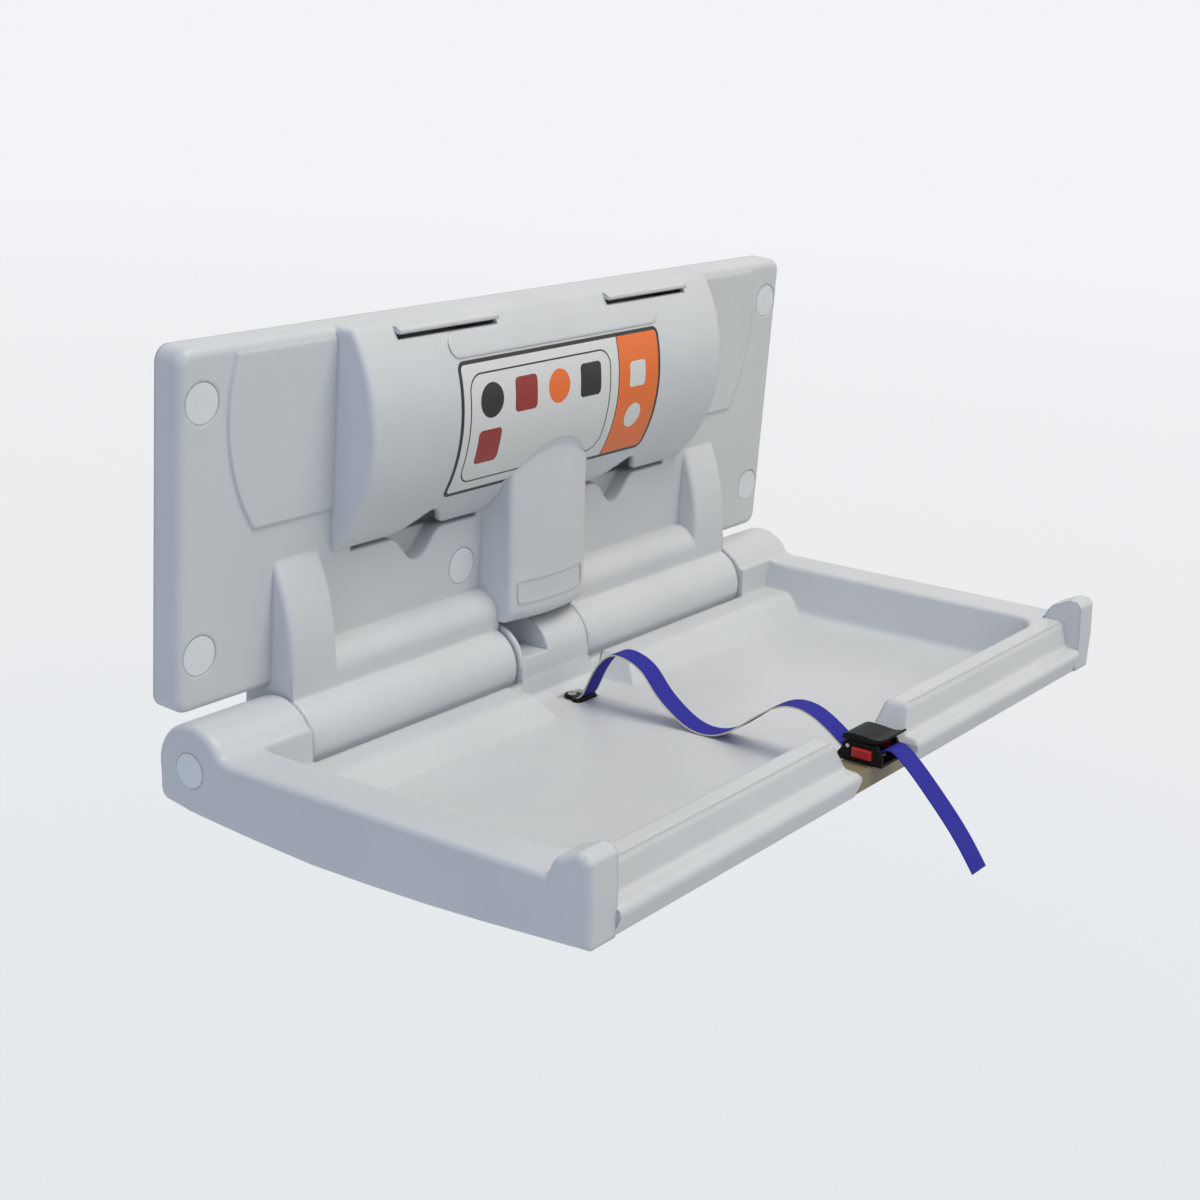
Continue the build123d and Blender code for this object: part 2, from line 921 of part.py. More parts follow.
def rim_edges(body):
    """Inner edges of the tray's rim, at its sides and along its front."""
    half = tray_half_rim + tray_rim_r
    found = []
    for e in body.edges():
        box = e.bounding_box()
        level = max(abs(box.min.Z - rim_rise), abs(box.max.Z - rim_rise)) < hinge_fit
        across = box.min.X > -half and box.max.X < half
        along = -box.min.Y < bar_back + tray_rim_r and -box.max.Y > tray_start - tray_rim_r
        if level and across and along:
            found.append(e)
    return found


def centre_room():
    """Deep part behind the tray, for the stem when the bed is shut."""
    top_w = rim_rise + join_overlap
    back = tray_start - cut_past
    deep = [(tray_start + centre_step, centre_step_w), (tray_start + centre_foot, tray_floor_w)]
    points = [(back, top_w), (back, ledge_w + bed_edge_r)] + deep
    points += [(ledge_foot + join_overlap, tray_floor_w), (ledge_foot + join_overlap, top_w)]
    slope = centre_flare / (ledge_w - tray_floor_w)
    top_half = centre_clear_half + slope * (top_w - tray_floor_w)
    ends = Polyline(
        (-centre_clear_half, tray_floor_w),
        (centre_clear_half, tray_floor_w),
        (top_half, top_w),
        (-top_half, top_w),
        close=True,
    )
    flared = extrude(Plane.XZ * make_face(ends), bed_front)
    return bed_prism(points, -bed_half, bed_half) & flared


def front_notch():
    """Opening in the front bar: slanted ends, rounded at the rim and the floor."""
    top_w = rim_rise + join_overlap
    wide = notch_top_half + 2 * notch_shoulder_r
    outline = make_face(Polyline(
        (-notch_low_half, notch_floor_w),
        (notch_low_half, notch_floor_w),
        (notch_top_half, rim_rise),
        (wide, rim_rise),
        (wide, top_w),
        (-wide, top_w),
        (-wide, rim_rise),
        (-notch_top_half, rim_rise),
        close=True,
    ))
    shoulders = [
        v for v in outline.vertices()
        if abs(v.Y - rim_rise) < hinge_fit and abs(v.X) < wide - notch_shoulder_r
    ]
    outline = fillet(shoulders, notch_shoulder_r)
    cut = extrude(Plane.XZ.offset(notch_back) * outline, bed_front - notch_back + cut_past)
    corners = [e for e in cut.edges().filter_by(Axis.Y) if e.center().Z < 0]
    cut = fillet(corners, notch_corner_r)
    below = bed_span(
        -notch_low_half, notch_low_half, mount_bar_back, bed_front + cut_past,
        mount_bar_low_w - join_overlap, notch_floor_w + cut_past
    )
    lugs = bed_span(
        -notch_low_half - lug_reach, notch_low_half + lug_reach, lug_back, lug_front,
        lug_low_w, lug_high_w
    )
    return cut + below + lugs


def mount_bar():
    half = notch_low_half - mount_bar_fit
    body = bed_span(
        -half, half, mount_bar_back + mount_bar_fit, mount_bar_front,
        mount_bar_low_w, notch_floor_w - mount_bar_fit
    )
    front = body.faces().sort_by(Axis.Y)[0]
    body = fillet(front.edges(), mount_bar_edge_r)
    body += bed_span(
        -half - lug_reach, half + lug_reach, lug_back + mount_bar_fit,
        lug_front - mount_bar_fit, lug_low_w + mount_bar_fit, lug_high_w - mount_bar_fit
    )
    for side in (-1, 1):
        body -= w_rod(screw_r, side * buckle_screw_x, buckle_screw_u, screw_foot_w, rim_rise)
    return body


def crank_pocket():
    return bed_span(
        pocket_low_x, pocket_high_x, pocket_back_u, pocket_front_u, pocket_floor_w,
        knuckle_r + join_overlap
    )


def anchor_seat():
    plan = RectangleRounded(2 * seat_half, seat_front - seat_back, seat_r)
    place = Pos(0, -(seat_front + seat_back) / 2, seat_floor_w)
    return extrude(place * plan, tray_floor_w - seat_floor_w + join_overlap)


crank_angle = 180 - bed_swing / 2 - bed_tilt
crank_u = crank_r * math.cos(math.radians(crank_angle))
crank_w = crank_r * math.sin(math.radians(crank_angle))


def crank_rod(radius):
    """Round rod across the crank pocket, let into both of its walls."""
    low = pocket_low_x - crank_pin_in / 3
    high = pocket_high_x + crank_pin_in
    return x_rod(radius, low, high, -crank_u, crank_w)


def bed_tray():
    body = tray_blank() + front_ledge()
    for side in (-1, 1):
        body += end_knuckle(side)
        body += cheek(side)
    body += knuckle(-centre_knuckle_half, centre_knuckle_half)
    body -= tray_room()
    body = fillet(rim_edges(body), tray_rim_r)
    body -= centre_room()
    body -= front_notch()
    body -= crank_pocket()
    body -= anchor_seat()
    body -= x_rod(rod_r + hinge_fit, -bed_half - cut_past, bed_half + cut_past, 0, 0)
    for side in (-1, 1):
        body -= end_cap_seat_cut(side)
        body -= bush_seat(side * knuckle_inner, side)
        body -= bush_seat(side * centre_knuckle_half, -side)
    body -= w_rod(
        screw_r + screw_fit, 0, anchor_screw_u, seat_floor_w - anchor_screw_depth, seat_floor_w
    )
    body -= crank_rod(crank_pin_r + hinge_fit)
    return body


def end_cap_seat_cut(side):
    low, high = sorted((side * (bed_half - end_cap_seat), side * (bed_half + cut_past)))
    return x_rod(end_cap_r + cap_fit, low, high, 0, 0)


def bush_seat(face_x, inward):
    low, high = sorted((face_x, face_x + inward * bush_length))
    return x_rod(rod_r + bush_wall + hinge_fit, low, high, 0, 0)


def knuckle_caps():
    caps = []
    for side in (-1, 1):
        low, high = sorted((side * (bed_half - end_cap_seat), side * (bed_half + end_cap_rise)))
        cap = x_rod(end_cap_r, low, high, 0, 0)
        rim = cap.faces().sort_by(Axis.X)[-1 if side > 0 else 0].edges()
        caps.append(fillet(rim, end_cap_edge_r))
    return group(caps, "knuckle_caps")


def bush(face_x, inward):
    low, high = sorted((face_x, face_x + inward * bush_length))
    body = x_rod(rod_r + bush_wall, low, high, 0, 0)
    low, high = sorted((face_x, face_x - inward * bush_flange))
    body += x_rod(bush_flange_r, low, high, 0, 0)
    return body - x_rod(rod_r + hinge_fit, -bed_half, bed_half, 0, 0)


def knuckle_bushes():
    items = []
    for side in (-1, 1):
        items.append(bush(side * knuckle_inner, side))
        items.append(bush(side * centre_knuckle_half, -side))
    return group(items, "knuckle_bushes")


def ribbon(points, steps):
    """Flat webbing of even thickness along a smooth route of (u, w) points."""
    route = Spline(*[(-u, w) for u, w in points])
    sides = {-1: [], 1: []}
    for i in range(steps + 1):
        at = route @ (i / steps)
        along = route % (i / steps)
        for s, rows in sides.items():
            half = s * strap_thick / 2
            rows.append((at.X - half * along.Y, at.Y + half * along.X))
    near = Spline(*sides[1])
    far = Spline(*sides[-1])
    ends = [Line(near @ 0, far @ 0), Line(near @ 1, far @ 1)]
    print("strap route", round(route.length, 1))
    face = Plane.YZ.offset(-strap_width / 2) * make_face([near, far] + ends)
    return extrude(face, strap_width)


strap_root_shares = [
    (0.3450, -0.3460),
    (0.3950, -0.3150),
]
strap_span_shares = [
    (0.13363, -0.22), (0.15712, -0.05), (0.18649, 0.1), (0.22761, 0.2), (0.28047, 0.195), (0.33333,
    0.11), (0.38032, -0.06), (0.43612, -0.215), (0.48899, -0.315), (0.54185, -0.352), (0.59765, -0.32),
    (0.68576, -0.13), (0.74743, 0.03), (0.82085, 0.147), (0.8884, 0.128), (0.93833, 0.046), (0.97651,
    -0.04)
]
strap_head_shares = [
    (0.4700, -0.0950),
    (0.3900, -0.1140),
    (0.3200, -0.1140),
    (0.2500, -0.1100),
]
tail_shares = [
    (0.2440, -0.1100),
    (0.1600, -0.0960),
    (0.0700, -0.0400),
    (0.0000, -0.0160),
    (-0.1100, -0.0700),
    (-0.3900, -0.3300),
    (-0.7300, -0.7000),
    (-0.9200, -0.9600),
]


def strap_route():
    """Strap from its anchor, over the floor and into the buckle."""
    root = [(tray_start + a * outline_length, b * outline_length) for a, b in strap_root_shares]
    reach = bar_back - tray_start
    middle = [(tray_start + a * reach, b * outline_length) for a, b in strap_span_shares]
    return root + middle + ahead(strap_head_shares)


def strap_anchor():
    length = anchor_front - anchor_back
    plan = RectangleRounded(2 * anchor_half, length, anchor_r)
    place = Pos(0, -(anchor_back + anchor_front) / 2, seat_floor_w)
    body = extrude(place * plan, anchor_thick)
    top = body.faces().sort_by(Axis.Z)[-1]
    body = fillet(top.edges(), screw_head_thick / 2)
    return body - w_rod(screw_r + screw_fit, 0, anchor_screw_u, seat_floor_w, rim_rise)


def cap_screw(x, u, seat_w, depth):
    head = w_rod(screw_head_r, x, u, seat_w, seat_w + screw_head_thick)
    head = fillet(head.faces().sort_by(Axis.Z)[-1].edges(), screw_head_thick / 3)
    socket_low = seat_w + screw_head_thick - screw_socket_depth
    socket = Pos(x, -u, socket_low) * extrude(
        RegularPolygon(screw_socket_r, 6), screw_head_thick
    )
    return head + w_rod(screw_r, x, u, seat_w - depth, seat_w) - socket


def anchor_screw():
    return cap_screw(0, anchor_screw_u, seat_floor_w + anchor_thick, anchor_thick + anchor_screw_depth)


def buckle_screws():
    seat = buckle_low_w + buckle_floor
    sides = (-1, 1)
    return group(
        [cap_screw(s * buckle_screw_x, buckle_screw_u, seat, buckle_screw_depth) for s in sides],
        "buckle_screws",
    )


buckle_side_shares = [
    (0.4900, -0.1790),
    (0.0300, -0.1790),
    (0.0300, -0.0900),
    (0.0950, 0.0140),
    (0.3850, 0.0140),
    (0.4200, 0.0040),
    (0.4400, -0.0200),
    (0.4440, -0.0500),
    (0.4700, -0.0950),
    (0.4900, -0.1150),
]


def buckle_frame():
    floor_top = buckle_low_w + buckle_floor
    body = bed_span(
        -buckle_half, buckle_half, buckle_back, buckle_front, buckle_low_w, floor_top
    )
    wall_points = ahead(buckle_side_shares)
    for side in (-1, 1):
        low, high = sorted((side * (buckle_half - buckle_wall), side * buckle_half))
        body += bed_prism(wall_points, low, high)
        body -= w_rod(screw_r + screw_fit, side * buckle_screw_x, buckle_screw_u, buckle_low_w, floor_top)
    body -= bed_span(
        -bed_half, bed_half, button_back - button_fit, button_front + button_fit,
        button_low_w - button_fit, button_high_w + button_fit
    )
    return body - x_rod(lever_pin_r + screw_fit, -bed_half, bed_half, -lever_pin_u, lever_pin_w)


cover_top_shares = [
    (0.4500, 0.0200),
    (0.4440, 0.0560),
    (0.4100, 0.0780),
    (0.3100, 0.0860),
    (0.2100, 0.0800),
    (0.1300, 0.0730),
    (0.0700, 0.0800),
    (0.0100, 0.1080),
]
cover_low_shares = [
    (0.0000, 0.0940),
    (0.0550, 0.0520),
    (0.1300, 0.0320),
    (0.2300, 0.0220),
    (0.3300, 0.0200),
]


def buckle_lever():
    top = [(-u, w) for u, w in ahead(cover_top_shares)]
    low = [(-u, w) for u, w in ahead(cover_low_shares)]
    lines = [Spline(*top), Line(top[-1], low[0]), Spline(*low), Line(low[-1], top[0])]
    cover = extrude(Plane.YZ.offset(-buckle_half) * make_face(lines), 2 * buckle_half)
    ends = cover.faces().sort_by(Axis.X)
    upper = [face.edges().sort_by(SortBy.LENGTH)[-1] for face in (ends[0], ends[-1])]
    cover = fillet(upper, lever_edge_r)
    cam = x_rod(lever_cam_r, -lever_half, lever_half, -lever_pin_u, lever_pin_w)
    arm = bed_span(
        -lever_half, lever_half, lever_pin_u - lever_arm_half, lever_pin_u + lever_arm_half,
        lever_pin_w, low[-1][1] + lever_arm_half / 2
    )
    hole = x_rod(lever_pin_r + screw_fit, -bed_half, bed_half, -lever_pin_u, lever_pin_w)
    return cover + cam + arm - hole


def lever_pin():
    return x_rod(lever_pin_r, -buckle_half, buckle_half, -lever_pin_u, lever_pin_w)


def button(side):
    low, high = sorted((side * button_inner, side * button_outer))
    body = bed_span(low, high, button_back, button_front, button_low_w, button_high_w)
    outer = body.faces().sort_by(Axis.X)[-1 if side > 0 else 0]
    return fillet(outer.edges(), button_edge_r)


# Gas spring, drawn where it stands when the bed is down

crank_z = axis_z + crank_r * math.sin(math.radians(crank_angle + bed_tilt))


def spring_disc_rod(radius, low, high):
    return z_rod(radius, spring_x, spring_y, low, high)


def gas_cylinder():
    low = rise(cylinder_low)
    high = rise(cylinder_high)
    top = rise(spring_top_height)
    body = spring_disc_rod(cylinder_r, low, high)
    body = fillet(body.faces().sort_by(Axis.Z)[-1].edges(), cylinder_wall)
    body -= spring_disc_rod(cylinder_r - cylinder_wall, low, high - 2 * cylinder_wall)
    body += spring_disc_rod(spring_rod_r, high - cylinder_wall, top - end_eye_r / 2)
    half = end_eye_thick / 2
    body += x_rod(end_eye_r, spring_x - half, spring_x + half, spring_y, top)
    return body - x_rod(spring_pin_r + screw_fit, spring_x - half, spring_x + half, spring_y, top)


def cylinder_gland():
    low = rise(cylinder_low)
    ring = spring_disc_rod(cylinder_r - cylinder_wall, low, low + gland_length)
    return ring - spring_disc_rod(spring_rod_r + hinge_fit, low, low + gland_length)


def gas_piston():
    low = rise(piston_height)
    ring = spring_disc_rod(cylinder_r - cylinder_wall - piston_gap, low, low + piston_length)
    return ring - spring_disc_rod(spring_rod_r - piston_step, low, low + piston_length)


def gas_rod():
    low = rise(piston_height)
    body = spring_disc_rod(spring_rod_r, crank_z + yoke_slot_half_z, low)
    body += spring_disc_rod(spring_rod_r - piston_step, low, low + piston_length)
    half = yoke_thick / 2
    eye = SlotOverall(2 * yoke_eye_half_y, 2 * yoke_eye_half_z)
    hole = SlotOverall(2 * yoke_slot_half_y, 2 * yoke_slot_half_z)
    place = Pos(spring_y, crank_z)
    plane = Plane.YZ.offset(spring_x - half)
    body += extrude(plane * (place * eye), yoke_thick)
    return body - extrude(plane * (place * hole), yoke_thick)


def bracket_plan():
    """Side cheeks and back of the top bracket, as boxes in plan."""
    inner = end_eye_thick / 2 + bracket_gap
    outer = inner + bracket_thick
    back = -stem_back_wall
    front = spring_y - end_eye_r
    low = rise(spring_top_height) - bracket_height / 2
    high = low + bracket_height
    flange = outer + bracket_flange
    boxes = [span(spring_x - flange, spring_x + flange, back, back - bracket_thick, low, high)]
    for side in (-1, 1):
        boxes.append(
            span(spring_x + side * inner, spring_x + side * outer, back, front, low, high)
        )
    return boxes


def spring_bracket():
    boxes = bracket_plan()
    body = boxes[0] + boxes[1] + boxes[2]
    body -= x_rod(
        spring_pin_r + screw_fit, -stem_half, stem_half, spring_y, rise(spring_top_height)
    )
    for x in bracket_screw_xs():
        body -= y_rod(screw_r + screw_fit, x, rise(spring_top_height), 0, -plate_thick)
    return body


def bracket_screw_xs():
    reach = end_eye_thick / 2 + bracket_gap + bracket_thick + bracket_flange / 2
    return [spring_x - reach, spring_x + reach]


def bracket_screws():
    items = []
    z = rise(spring_top_height)
    for x in bracket_screw_xs():
        seat = -stem_back_wall - bracket_thick
        shank = y_rod(screw_r, x, z, -screw_end_gap, seat)
        items.append(shank + y_rod(small_head_r, x, z, seat, seat - screw_head_thick))
    return group(items, "bracket_screws")


def spring_top_pin():
    reach = end_eye_thick / 2 + bracket_gap + bracket_thick + pin_head
    return x_rod(
        spring_pin_r, spring_x - reach, spring_x + reach, spring_y, rise(spring_top_height)
    )


def bed_save(shape, name):
    save(bed_place * shape, name)


save(wall_plate(), "wall_plate")
save(plate_caps(), "plate_caps")
save(wall_rails(), "wall_rails")
save(back_panels(), "back_panels")
save(label_panel(), "label_panel")
save(x_rod(rod_r, -rod_half, rod_half, axis_y, axis_z), "hinge_rod")
save(gas_cylinder(), "gas_cylinder")
save(cylinder_gland(), "cylinder_gland")
save(spring_bracket(), "spring_bracket")
save(bracket_screws(), "bracket_screws")
save(spring_top_pin(), "spring_top_pin")
save(gas_rod(), "gas_rod")
save(gas_piston(), "gas_piston")
bed_save(bed_tray(), "bed_tray")
bed_save(knuckle_caps(), "knuckle_caps")
bed_save(knuckle_bushes(), "knuckle_bushes")
bed_save(crank_rod(crank_pin_r), "crank_pin")
bed_save(mount_bar(), "mount_bar")
bed_save(strap_anchor(), "strap_anchor")
bed_save(anchor_screw(), "anchor_screw")
bed_save(ribbon(strap_route(), strap_steps), "safety_strap")
bed_save(ribbon(ahead(tail_shares), tail_steps), "strap_tail")
bed_save(buckle_frame(), "buckle_frame")
bed_save(buckle_screws(), "buckle_screws")
bed_save(lever_pin(), "lever_pin")
bed_save(buckle_lever(), "buckle_lever")
bed_save(button(-1), "button_left")
bed_save(button(1), "button_right")
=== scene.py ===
import json
import math

import bpy
import numpy as np
from mathutils import Matrix, Vector


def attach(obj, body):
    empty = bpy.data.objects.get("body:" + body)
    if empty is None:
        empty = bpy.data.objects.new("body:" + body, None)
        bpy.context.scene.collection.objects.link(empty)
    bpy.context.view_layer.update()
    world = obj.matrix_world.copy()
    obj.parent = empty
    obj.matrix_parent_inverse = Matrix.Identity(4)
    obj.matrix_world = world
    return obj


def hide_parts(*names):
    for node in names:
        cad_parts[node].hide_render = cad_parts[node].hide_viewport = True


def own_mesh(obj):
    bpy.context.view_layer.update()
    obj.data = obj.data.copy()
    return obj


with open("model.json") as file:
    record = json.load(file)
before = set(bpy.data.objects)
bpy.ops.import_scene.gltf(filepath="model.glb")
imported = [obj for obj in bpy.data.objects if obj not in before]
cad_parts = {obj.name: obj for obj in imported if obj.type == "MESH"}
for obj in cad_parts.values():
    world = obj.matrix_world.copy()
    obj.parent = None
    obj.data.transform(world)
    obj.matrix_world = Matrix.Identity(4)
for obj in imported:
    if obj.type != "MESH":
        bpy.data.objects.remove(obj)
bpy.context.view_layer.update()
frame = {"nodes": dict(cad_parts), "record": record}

# Camera, fitted to the photograph, in metres and degrees
CAMERA_PLACE = (-1.5387, -1.2402, 0.5137)
CAMERA_YAW = 56.384
CAMERA_PITCH = 18.572
CAMERA_ROLL = 5.068
CAMERA_LENS = 61.056
CAMERA_SHIFT = (-0.05825, 0.0013)
CAMERA_SENSOR = 36.0

# Bed frame of the CAD model: u in front of the hinge axis, w over it
HINGE_Y = -0.0455
HINGE_Z = -0.2017
BED_TILT = math.radians(3.35)

# Strap, as in the CAD model, and its mesh's steps along, across and per spline step
STRAP_WIDTH = 0.026
STRAP_THICK = 0.0015
STRAP_STEPS = 220
STRAP_ACROSS = 10
STRAP_FINENESS = 4
STRAP_ROUTE = [
    (0.0760, -0.0346), (0.0810, -0.0315), (0.0870, -0.0220), (0.0950, -0.0050),
    (0.1050, 0.0100), (0.1190, 0.0200), (0.1370, 0.0195), (0.1550, 0.0110),
    (0.1710, -0.0060), (0.1900, -0.0215), (0.2080, -0.0315), (0.2260, -0.0352),
    (0.2450, -0.0320), (0.2750, -0.0130), (0.2960, 0.0030), (0.3210, 0.0147),
    (0.3440, 0.0128), (0.3610, 0.0046), (0.3740, -0.0040), (0.3830, -0.0095),
    (0.3910, -0.0114), (0.3980, -0.0114), (0.4050, -0.0110),
]
TAIL_ROUTE = [
    (0.4056, -0.0110), (0.4140, -0.0096), (0.4230, -0.0040), (0.4300, -0.0016),
    (0.4410, -0.0070), (0.4690, -0.0330), (0.5030, -0.0700), (0.5220, -0.0960),
]

# Strap's cream edge band: shares of the thickness where it begins on the upper and lower face,
# and how far past the width its UVs are placed, as a share of the width
EDGE_SHARES = (0.45, 0.55)
CREAM_EDGE_OFFSET = 0.1
EDGE_SLACK = STRAP_THICK * 0.02

# Strap anchor: screw eye, neck, raised bar at its front, seat, tops and edge radius
ANCHOR_EYE = 0.0625
ANCHOR_EYE_R = 0.0078
ANCHOR_NECK = 0.0670
ANCHOR_BAR = (0.0735, 0.0815)
ANCHOR_BAR_HALF = 0.0160
ANCHOR_SEAT = -0.0394
ANCHOR_PLATE_TOP = -0.0353
ANCHOR_BAR_TOP = -0.0336
ANCHOR_EDGE_R = 0.0011
# Rise onto the bar, from and to, off the bar's start; the nose's length, taper and drop
ANCHOR_RISE = (-0.001, 0.002)
ANCHOR_NOSE = 0.003
ANCHOR_NOSE_TAPER = 0.0015
ANCHOR_NOSE_DROP = 0.0035
# Mesh steps round the eye, along to the nose and round an edge
ANCHOR_EYE_STEPS = 12
ANCHOR_BAR_STEPS = 24
ANCHOR_EDGE_STEPS = 5

# Light: the lamps are name, place, size, watts and colour
WORLD_COLOUR = (0.93, 0.96, 1.0, 1)
WORLD_STRENGTH = 0.38
LAMP_TARGET = (0, -0.2, -0.1)
LAMPS = [
    ("key", (0.35, -1.15, 2.7), 1.6, 50.0, (1.0, 0.965, 0.86)),
    ("fill", (-2.2, -0.6, 0.9), 2.0, 12.0, (0.46, 0.62, 1.0)),
    ("front", (0.5, -2.4, 1.3), 1.4, 8.0, (1.0, 0.98, 0.93)),
]

# Backdrop
BACKGROUND = (0.885, 0.900, 0.925, 1.0)
FLOOR_HEIGHT = -0.95
FLOOR_HALF = 30.0
FLOOR_COLOUR = (0.86, 0.87, 0.89, 1)
FLOOR_ROUGHNESS = 0.9
# Floor's painted shadow: a darker tone under the object that fades out to the backdrop, by share
# of the distance
FLOOR_SHADOW_REACH = 8.0
FLOOR_PAINTED_SHADOW_TONES = [
    (0.04, (0.765, 0.800, 0.822, 1.0)), (0.30, (0.825, 0.840, 0.860, 1.0)), (1.0, BACKGROUND)
]

# Moulded plastic: clouds in the colour, patches of gloss, grain, in noise scales and metres
CLOUD_SCALE = 9.0
CLOUD_SPREAD = 0.03
GLOSS_SCALE = 60.0
GRAIN_SCALE = 900.0
GRAIN_STRENGTH = 0.25
GRAIN_DEPTH = 0.00004
PLASTIC_IOR = 1.5
SHELL_BEVEL = 0.005
BEVEL_SAMPLES = 6

# Brushed metal: stretch and scale of the lines, and their darkest and lightest tone
BRUSH_STRETCH = (1.0, 40.0, 40.0)
BRUSH_SCALE = 30.0
BRUSH_TONES = (0.85, 1.08)

# Webbing: pitch of the ribs and yarns, fuzz, colours, gloss and relief
RIB_PITCH = 0.0011
YARN_PITCH = 0.0016
FUZZ_SCALE = 700.0
FUZZ_SHARE = 0.8
WEBBING_DARK = (0.025, 0.024, 0.25, 1)
WEBBING_LIGHT = (0.048, 0.047, 0.44, 1)
WEBBING_EDGE = (0.66, 0.60, 0.42, 1)
WEBBING_ROUGHNESS = 0.78
WEBBING_GLEAM = 0.15
WEBBING_STRENGTH = 0.5
WEBBING_DEPTH = 0.00025

# Colours of the plain parts
SHELL = (0.625, 0.640, 0.655)
CAP = (0.74, 0.77, 0.79)
STEEL = (0.60, 0.61, 0.63)
ZINC = (0.55, 0.56, 0.58)
PAINT = (0.03, 0.03, 0.034)
BUSH = (0.62, 0.60, 0.52)
TAN = (0.25, 0.21, 0.125)
BLACK = (0.012, 0.012, 0.011)
RED = (0.50, 0.012, 0.015)


# Node helpers

def new_material(name):
    material = bpy.data.materials.new(name)
    material.use_nodes = True
    tree = material.node_tree
    tree.nodes.clear()
    out = tree.nodes.new("ShaderNodeOutputMaterial")
    shader = tree.nodes.new("ShaderNodeBsdfPrincipled")
    tree.links.new(shader.outputs["BSDF"], out.inputs["Surface"])
    return material, tree, shader


def add_node(tree, kind, **values):
    node = tree.nodes.new(kind)
    for key, value in values.items():
        if hasattr(node, key):
            setattr(node, key, value)
        else:
            node.inputs[key.replace("_", " ")].default_value = value
    return node


def object_coordinates(tree):
    return add_node(tree, "ShaderNodeTexCoord").outputs["Object"]


def noise(tree, vector, scale, detail=3.0):
    node = add_node(tree, "ShaderNodeTexNoise", Scale=scale, Detail=detail)
    tree.links.new(vector, node.inputs["Vector"])
    return node.outputs["Fac"]


def ramp(tree, value, stops):
    node = tree.nodes.new("ShaderNodeValToRGB")
    elements = node.color_ramp.elements
    while len(elements) < len(stops):
        elements.new(0.5)
    for element, (place, colour) in zip(elements, stops):
        element.position = place
        element.color = colour
    tree.links.new(value, node.inputs["Fac"])
    return node.outputs["Color"]


def span(tree, value, low, high):
    node = tree.nodes.new("ShaderNodeMapRange")
    node.inputs["To Min"].default_value = low
    node.inputs["To Max"].default_value = high
    tree.links.new(value, node.inputs["Value"])
    return node.outputs["Result"]


def math_node(tree, operation, a, b=None):
    node = tree.nodes.new("ShaderNodeMath")
    node.operation = operation
    for socket, value in zip(node.inputs, (a, b)):
        if value is None:
            continue
        if isinstance(value, (int, float)):
            socket.default_value = value
        else:
            tree.links.new(value, socket)
    return node.outputs["Value"]


def mix_colour(tree, factor, a, b):
    node = tree.nodes.new("ShaderNodeMix")
    node.data_type = "RGBA"
    sockets = [s for s in node.inputs if s.type == "RGBA"]
    for socket, value in ((node.inputs["Factor"], factor), (sockets[0], a), (sockets[1], b)):
        if isinstance(value, (int, float, tuple)):
            socket.default_value = value
        else:
            tree.links.new(value, socket)
    return [s for s in node.outputs if s.type == "RGBA"][0]


def bump(tree, height, strength, distance):
    node = add_node(tree, "ShaderNodeBump", Strength=strength, Distance=distance)
    tree.links.new(height, node.inputs["Height"])
    return node.outputs["Normal"]


def shade(colour, factor):
    return tuple(min(1.0, c * factor) for c in colour[:3]) + (1.0,)


# Materials

def moulded_plastic(name, colour, rough=(0.34, 0.46), soft=0.0, gleam=0.5):
    """Moulded plastic: faint cloudy colour, fine grain, softly shaded edges."""
    material, tree, shader = new_material(name)
    place = object_coordinates(tree)
    dark, light = shade(colour, 1 - CLOUD_SPREAD), shade(colour, 1 + CLOUD_SPREAD)
    tone = ramp(tree, noise(tree, place, CLOUD_SCALE, 4.0), [(0.3, dark), (0.7, light)])
    tree.links.new(tone, shader.inputs["Base Color"])
    gloss = noise(tree, place, GLOSS_SCALE)
    tree.links.new(span(tree, gloss, *rough), shader.inputs["Roughness"])
    normal = bump(tree, noise(tree, place, GRAIN_SCALE, 2.0), GRAIN_STRENGTH, GRAIN_DEPTH)
    if soft:
        bevel = add_node(tree, "ShaderNodeBevel", samples=BEVEL_SAMPLES, Radius=soft)
        tree.links.new(bevel.outputs["Normal"], normal.node.inputs["Normal"])
    tree.links.new(normal, shader.inputs["Normal"])
    shader.inputs["IOR"].default_value = PLASTIC_IOR
    shader.inputs["Specular IOR Level"].default_value = gleam
    return material


def brushed_metal(name, colour, rough=(0.25, 0.4)):
    """Metal with fine lines in its colour and gloss."""
    material, tree, shader = new_material(name)
    mapping = add_node(tree, "ShaderNodeMapping", Scale=BRUSH_STRETCH)
    tree.links.new(object_coordinates(tree), mapping.inputs["Vector"])
    lines = noise(tree, mapping.outputs["Vector"], BRUSH_SCALE, 4.0)
    dark, light = (shade(colour, tone) for tone in BRUSH_TONES)
    tree.links.new(ramp(tree, lines, [(0.3, dark), (0.7, light)]), shader.inputs["Base Color"])
    tree.links.new(span(tree, lines, *rough), shader.inputs["Roughness"])
    shader.inputs["Metallic"].default_value = 1.0
    return material


